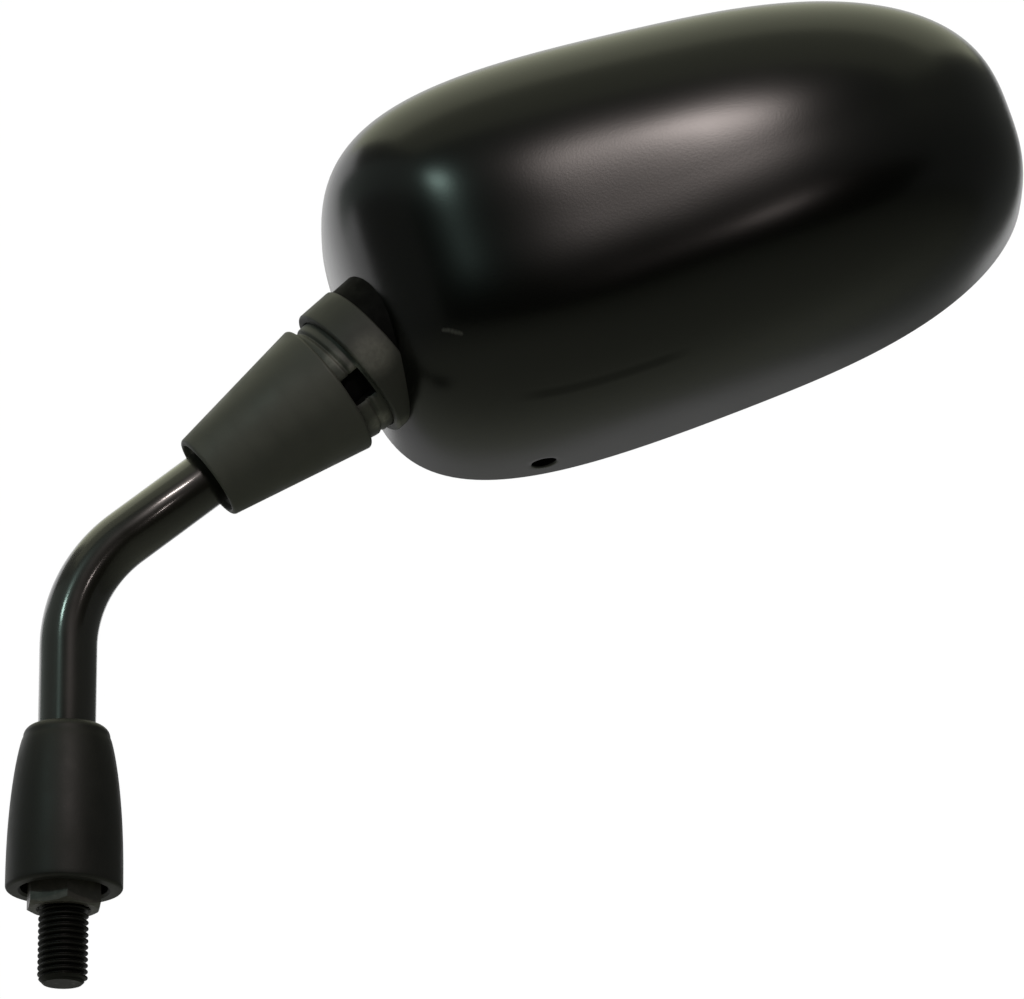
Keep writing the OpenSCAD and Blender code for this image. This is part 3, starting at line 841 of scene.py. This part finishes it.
def wall(name, start, end, low, high, material):
    """An upright sheet from one (x, y) to another, in metres."""
    sheet(name, [(*start, low), (*end, low), (*end, high), (*start, high)], material)


def lamp(name, place, width, height, power, code):
    """A soft rectangular light that faces the mirror's housing."""
    light = bpy.data.lights.new(name, "AREA")
    light.shape, light.size, light.size_y, light.energy = "RECTANGLE", width, height, power
    light.color = linear(code)[:3]
    made = bpy.data.objects.new(name, light)
    made.location = place
    toward = Vector((120 * MM, 0, 150 * MM)) - made.location
    made.rotation_euler = toward.to_track_quat("-Z", "Y").to_euler()
    bpy.context.scene.collection.objects.link(made)


class MIRROR_OT_housing(bpy.types.Operator):
    """Moulds the egg-shaped housing with its rim, collar and drain hole"""

    bl_idname = "mirror_part.housing"
    bl_label = "Housing"

    def execute(self, context):
        sizes, paint = context.scene.mirror_sizes, context.scene.mirror_finishes
        outer, bore, tube = sizes.collar_d / 2, 13.35 * MM, 14.5 * MM
        start, stop = 1.4 * MM, 9.4 * MM
        collar = rounded(
            [
                (bore, start, 0.3 * MM),
                (outer, start, 0.6 * MM),
                (outer, stop, 0.5 * MM),
                (tube, stop, 0.15 * MM),
                (tube, TUBE_END, 0),
                (bore, TUBE_END, 0),
            ]
        )
        points, faces, _ = turned(collar, SWIVEL, 192, looped=True)
        # The collar is matt, and the tube beyond it, which lies in its shade, gets painted shade
        local = placed(points, SWIVEL.inverted())
        index = [1 if local[list(face), 2].max() < stop + 1e-6 else 2 for face in faces]
        parts = [housing_parts(sizes), (points, faces, index)]
        skins = [moulded_abs(paint), eroded_abs(paint), painted_shade_black(paint)]
        piece("housing", parts, skins, "head", "housing_shell")
        return {"FINISHED"}


class MIRROR_OT_stem(bpy.types.Operator):
    """Bends the painted rod and cuts the thread on its foot"""

    bl_idname = "mirror_part.stem"
    bl_label = "Stem"

    def execute(self, context):
        sizes, paint = context.scene.mirror_sizes, context.scene.mirror_finishes
        radius, shank = sizes.stem_d / 2, sizes.shank_d / 2
        coat, steel = dipped_paint(paint), black_steel("steel_black_oiled", paint.thread, 0.2)
        steps, edge = 64, 1 * MM
        frames = [(raised(THREAD_TOP + 1 * MM), radius)]
        for k in range(steps + 1):
            turn = NECK_TURN * k / steps
            middle = Matrix.Translation((BEND_R, 0, BEND_Z - BEND_TANGENT)) @ Matrix.Rotation(turn, 4, "Y")
            frames.append((middle @ Matrix.Translation((-BEND_R, 0, 0)), radius))
        cup = 13.5 * MM
        shoulder, bevel = NECK_LEN - cup - SHOULDER, 0.5 * MM
        end = 105.1 * MM
        frames += [
            (NECK @ raised(shoulder - bevel), radius),
            (NECK @ raised(shoulder), radius - bevel),
            (NECK @ raised(shoulder), shank),
            (NECK @ raised(end - edge), shank),
            (NECK @ raised(end), shank - edge),
        ]
        sides = 96
        around = np.arange(sides) * 2 * math.pi / sides
        ring = np.column_stack([np.cos(around), np.sin(around), np.zeros(sides)])
        points, rows = [tuple(frames[0][0].translation)], [[0]]
        for matrix, r in frames:
            rows.append(list(range(len(points), len(points) + sides)))
            points += [tuple(p) for p in placed(ring * r, matrix)]
        rows.append([len(points)])
        points.append(tuple(frames[-1][0].translation))
        thread = {
            "Crest": sizes.thread_d / 2,
            "Root": sizes.thread_root_d / 2,
            "Pitch": sizes.thread_pitch,
            "Length": THREAD_OUT + THREAD_TOP + 1.5 * MM,
            "Chamfer": 1.1 * MM,
            "Around": 97,
            "Along": 460,
            "Finish": steel,
        }
        spots, faces = evaluated("thread", thread_tree(), thread)
        spots = placed(spots, raised(-THREAD_OUT))
        parts = [(points, stitched(rows), 0), (spots, faces, 1)]
        piece("stem_rod", parts, [coat, steel], "stem", "stem", 50)
        return {"FINISHED"}


class MIRROR_OT_lock_nut(bpy.types.Operator):
    """Turns the corners off the hexagonal lock nut"""

    bl_idname = "mirror_part.lock_nut"
    bl_label = "Lock nut"

    def execute(self, context):
        sizes, paint = context.scene.mirror_sizes, context.scene.mirror_finishes
        place = raised(0.1 * MM) @ Matrix.Rotation(math.radians(8), 4, "Z")
        steel = black_steel("steel_black_passivated", paint.nut, 0.8)
        parts = [hexagon(sizes.nut_flats, sizes.nut_h, sizes.thread_d / 2, place)]
        piece("jam_nut", parts, [steel], "nut", "lock_nut", 25)
        return {"FINISHED"}


def hexagon(flats, height, bore, place):
    """A hexagonal nut whose corners are turned off at 30 degrees and whose bore is countersunk."""
    sides, face, sink, slope = 144, flats / 2 * 0.96, 0.5 * MM, math.tan(math.radians(30))

    def shape(angles, r, z):
        """Radius at each angle: the hexagon beyond the turned face, a circle inside it."""
        fold = (angles + math.pi / 6) % (math.pi / 3) - math.pi / 6
        return np.minimum(r, flats / 2 / np.cos(fold))

    profile = [(bore, sink), (bore + sink, 0), (face, 0)]
    for k in range(1, 9):
        r = face + (flats / math.sqrt(3) - face) * k / 8
        profile.append((r, (r - face) * slope))
    upper = [(r, height - z) for r, z in reversed(profile)]
    points, faces, index = turned(profile + upper, place, sides, looped=True, edit=shape)
    # Where the hexagon cuts the cone, the wall rises from the cone's height at its own radius
    local = placed(points, place.inverted())
    reach = np.hypot(local[:, 0], local[:, 1])
    drop = np.maximum(0, reach - face) * slope
    outside = reach > face + 1e-7
    low = outside & (local[:, 2] < height / 2)
    high = outside & (local[:, 2] >= height / 2)
    local[low, 2] = drop[low]
    local[high, 2] = height - drop[high]
    return placed(local, place), faces, index


class MIRROR_OT_boot(bpy.types.Operator):
    """Moulds the rubber boot over the foot of the stem"""

    bl_idname = "mirror_part.boot"
    bl_label = "Boot"

    def execute(self, context):
        sizes, paint = context.scene.mirror_sizes, context.scene.mirror_finishes
        low, top = 4 * MM, 4 * MM + sizes.boot_h
        narrow, wide, shoulder = sizes.boot_top_d / 2, sizes.boot_d / 2, 2.2 * MM
        mouth, bore, edge = 8.7 * MM, sizes.stem_d / 2 + FIT, 0.8 * MM
        line = [(mouth + 0.5 * MM, low), (wide - edge, low)]
        for a in np.linspace(0.2, 1.57, 5):
            line.append((wide - edge * (1 - math.sin(a)), low + edge * (1 - math.cos(a))))
        for k in np.linspace(0, 1, 40)[1:]:
            r = narrow + (wide - narrow) * (1 - k**2.2) ** 0.8
            line.append((r, low + edge + (sizes.boot_h - shoulder - edge) * k))
        for a in np.linspace(0, math.pi / 2, 10)[1:]:
            line.append((narrow - shoulder * (1 - math.cos(a)), top - shoulder * (1 - math.sin(a))))
        line += [(bore + 0.3 * MM, top), (bore, top - 0.3 * MM), (bore, top - 8 * MM)]
        line += [(mouth, low + 9 * MM), (mouth, low + 0.5 * MM)]
        parts = [turned(line, Matrix.Identity(4), 160, looped=True)]
        piece("rubber_boot", parts, [moulded_rubber(paint)], "boot", "base_boot")
        return {"FINISHED"}


class MIRROR_OT_swivel(bpy.types.Operator):
    """Moulds the tapered cone and the ribbed dome of the swivel"""

    bl_idname = "mirror_part.swivel"
    bl_label = "Swivel"

    def execute(self, context):
        sizes, paint = context.scene.mirror_sizes, context.scene.mirror_finishes
        nylon = filled_nylon(paint)
        small, rim, tall = sizes.cone_small_d / 2, sizes.cone_rim_d / 2, sizes.cone_len
        start = NECK_LEN - RIM_DROP - tall
        cup, middle = sizes.ball_d / 2 + 0.3 * MM, tall + RIM_DROP
        bore, shank = sizes.stem_d / 2 + FIT, sizes.shank_d / 2 + FIT
        shoulder, throat = middle - cup - SHOULDER, RIM_DROP + 1 * MM
        corners = rounded(
            [
                (bore, 1.8 * MM, 0),
                (small - 1.3 * MM, 1.2 * MM, 0.3 * MM),
                (small - 1.1 * MM, 0, 0.25 * MM),
                (small, 0, 0.8 * MM),
                (rim, tall, 0.7 * MM),
                (math.sqrt(cup**2 - RIM_DROP**2), tall, 0.25 * MM),
                (math.sqrt(cup**2 - throat**2), tall - 1 * MM, 0),
            ]
        )
        for a in np.linspace(math.asin(throat / cup), math.acos(shank / cup), 24)[1:]:
            corners.append((cup * math.cos(a), middle - cup * math.sin(a)))
        corners += [(shank, shoulder), (bore, shoulder)]
        parts = [turned(corners, NECK @ raised(start), 192, looped=True)]
        piece("ball_cone", parts, [nylon], "stem", "swivel_cone")

        ball, inside = sizes.ball_d / 2, sizes.ball_d / 2 - 3.4 * MM
        window, skirt, flange, thick = 7.6 * MM, ball - 1.6 * MM, 14.3 * MM, 2 * MM
        line = [
            (ball * math.sin(a), -ball * math.cos(a))
            for a in np.linspace(math.asin(window / ball), math.pi / 2 - 0.3, 40)
        ]
        for z in np.linspace(-3.8, 2.6, 65):
            z *= MM
            groove = 0.6 * MM * math.exp(-(((z + 1.1 * MM) / (0.42 * MM)) ** 2))
            line.append((math.sqrt(ball**2 - min(z, 0) ** 2) - groove, z))
        outside = len(line)
        line += [(ball, TUBE_END), (flange, TUBE_END), (flange, TUBE_END + thick)]
        line += [(skirt, TUBE_END + thick), (skirt, 6 * MM), (inside, 0)]
        for a in np.linspace(0, math.acos(window / inside), 24)[1:]:
            line.append((inside * math.cos(a), -inside * math.sin(a)))
        # The notch: its width, place and rounded ends round the dome, its floor, and where it starts
        span, place, easing = math.radians(28), math.radians(-60), math.radians(5)
        floor, deep = 10.7 * MM, 12 * MM

        def notched(angles, r, z):
            """Radius at each angle, sunk to the floor within the notch and rounded at its ends."""
            turn = (angles - place + math.pi) % (2 * math.pi) - math.pi
            beyond = (np.abs(turn) - span / 2) / easing
            ease = np.clip(1 - beyond, 0, 1)
            bent = r - 1.1 * MM * (1 - np.sqrt(1 - ease**2))
            if r < deep or not -3.9 * MM < z < 0.9 * MM:
                return np.full(len(angles), r)
            return np.where(beyond < 0, np.minimum(r, floor), bent)

        sides = 720
        points, faces, _ = turned(line, SWIVEL, sides, looped=True, edit=notched)
        # The notch's floor gets painted shade
        local = placed(points, SWIVEL.inverted())
        sunk = (np.hypot(local[:, 0], local[:, 1]) < deep) & (np.abs(local[:, 2] + 1.5 * MM) < 2.4 * MM)
        sunk[sides * outside :] = False
        index = [int(any(sunk[n] for n in face)) for face in faces]
        parts, skins = [(points, faces, index)], [nylon, painted_shade_black(paint)]
        piece("ball_dome", parts, skins, "head", "neck_dome")
        return {"FINISHED"}


class MIRROR_OT_spring(bpy.types.Operator):
    """Winds the spring that holds the swivel tight"""

    bl_idname = "mirror_part.spring"
    bl_label = "Tension spring"

    def execute(self, context):
        paint = context.scene.mirror_finishes
        wire, steel = 1.4 * MM, drawn_wire(paint)
        tall = 18 * MM - wire  # the room between the washer and the plate
        values = {"Radius": 5.6 * MM, "Wire": wire, "Height": tall, "Turns": 6.0, "Finish": steel}
        points, faces = evaluated("spring", coil_tree(), values)
        parts = [(placed(points, BALL @ raised(wire / 2)), faces, 0)]
        piece("coil_spring", parts, [steel], "stem", "tension_spring")
        return {"FINISHED"}


class MIRROR_OT_glass(bpy.types.Operator):
    """Cuts the convex glass and silvers it"""

    bl_idname = "mirror_part.glass"
    bl_label = "Glass"

    def execute(self, context):
        sizes, paint = context.scene.mirror_sizes, context.scene.mirror_finishes
        turns = even(lambda t: rim_line(t, 0, sizes), 0, 2 * math.pi, 256, True)
        inset, front, bevel = sizes.wall + 0.6 * MM, sizes.rim_y - 1 * MM, 0.35 * MM

        def dish(flat, sunk):
            """Points on the glass's curve, a given depth behind its face."""
            fall = sizes.glass_r - np.sqrt(sizes.glass_r**2 - (flat**2).sum(1))
            return np.column_stack([flat[:, 0], front - sunk - fall, flat[:, 1]])

        outline, rim = rim_line(turns, inset, sizes), rim_line(turns, inset + bevel, sizes)
        skin = Skin()
        front_rings = [skin.ring(dish(rim * share, 0)) for share in np.linspace(0, 1, 17)[1:]]
        centre = skin.ring([(0, front, 0)])
        side = [skin.ring(dish(outline, bevel)), skin.ring(dish(outline, sizes.glass_t - bevel))]
        side.append(skin.ring(dish(rim, sizes.glass_t)))
        back_rings = [skin.ring(dish(rim * share, sizes.glass_t)) for share in np.linspace(1, 0, 9)[1:-1]]
        back_rings.append(skin.ring([(0, front - sizes.glass_t, 0)]))
        face, edge = stitched([centre] + front_rings), stitched([front_rings[-1]] + side)
        back = stitched([side[-1]] + back_rings)
        index = [0] * len(face) + [1] * len(edge) + [2] * len(back)
        parts = [(placed(skin.points, HEAD), face + edge + back, index)]
        skins = [silvered_glass(paint), ground_edge(paint), closed_foam(paint)]
        piece("convex_glass", parts, skins, "head", "mirror_glass", 25)
        return {"FINISHED"}


class MIRROR_OT_fittings(bpy.types.Operator):
    """Finishes the fittings hidden in the swivel and behind the glass"""

    bl_idname = "mirror_part.fittings"
    bl_label = "Fittings"

    def execute(self, context):
        paint = context.scene.mirror_finishes
        zinc, natural = zinc_plate(paint), natural_nylon(paint)
        wanted = {
            "clamp_plate": zinc,
            "clamp_screws": zinc,
            "seat_liner": natural,
            "inner_seat": zinc,
            "thrust_washer": natural,
            "spring_plate": zinc,
            "swivel_nut": zinc,
            "glass_carrier": bpy.data.materials["black_nylon_moulded"],
            "carrier_screws": zinc,
            "foam_pad": bpy.data.materials["black_foam_sliced"],
        }
        for node, material in wanted.items():
            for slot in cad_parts[node].material_slots:
                slot.material = material
        return {"FINISHED"}


OPERATORS = (
    MIRROR_OT_studio,
    MIRROR_OT_housing,
    MIRROR_OT_stem,
    MIRROR_OT_lock_nut,
    MIRROR_OT_boot,
    MIRROR_OT_swivel,
    MIRROR_OT_spring,
    MIRROR_OT_glass,
    MIRROR_OT_fittings,
)


class MIRROR_PT_pieces(bpy.types.Panel):
    """Lists the mirror's pieces, sizes and colours"""

    bl_idname = "MIRROR_PT_pieces"
    bl_label = "Motorcycle mirror"
    bl_space_type = "VIEW_3D"
    bl_region_type = "UI"
    bl_category = "Mirror"

    def draw(self, context):
        for operator in OPERATORS:
            self.layout.operator(operator.bl_idname)
        for group in (context.scene.mirror_sizes, context.scene.mirror_finishes):
            box = self.layout.box()
            for name in group.__annotations__:
                box.prop(group, name)


CLASSES = (MirrorSizes, MirrorFinishes, *OPERATORS, MIRROR_PT_pieces)


def register():
    """Registers the classes and hangs the two property groups on the scene."""
    for item in CLASSES:
        bpy.utils.register_class(item)
    bpy.types.Scene.mirror_sizes = bpy.props.PointerProperty(type=MirrorSizes)
    bpy.types.Scene.mirror_finishes = bpy.props.PointerProperty(type=MirrorFinishes)


def unregister():
    """Takes the property groups and the classes away again."""
    del bpy.types.Scene.mirror_finishes
    del bpy.types.Scene.mirror_sizes
    for item in reversed(CLASSES):
        bpy.utils.unregister_class(item)


def main():
    """Runs every operator in order."""
    register()
    bpy.ops.mirror_part.studio()
    bpy.ops.mirror_part.housing()
    bpy.ops.mirror_part.stem()
    bpy.ops.mirror_part.lock_nut()
    bpy.ops.mirror_part.boot()
    bpy.ops.mirror_part.swivel()
    bpy.ops.mirror_part.spring()
    bpy.ops.mirror_part.glass()
    bpy.ops.mirror_part.fittings()


if __name__ == "__main__":
    main()
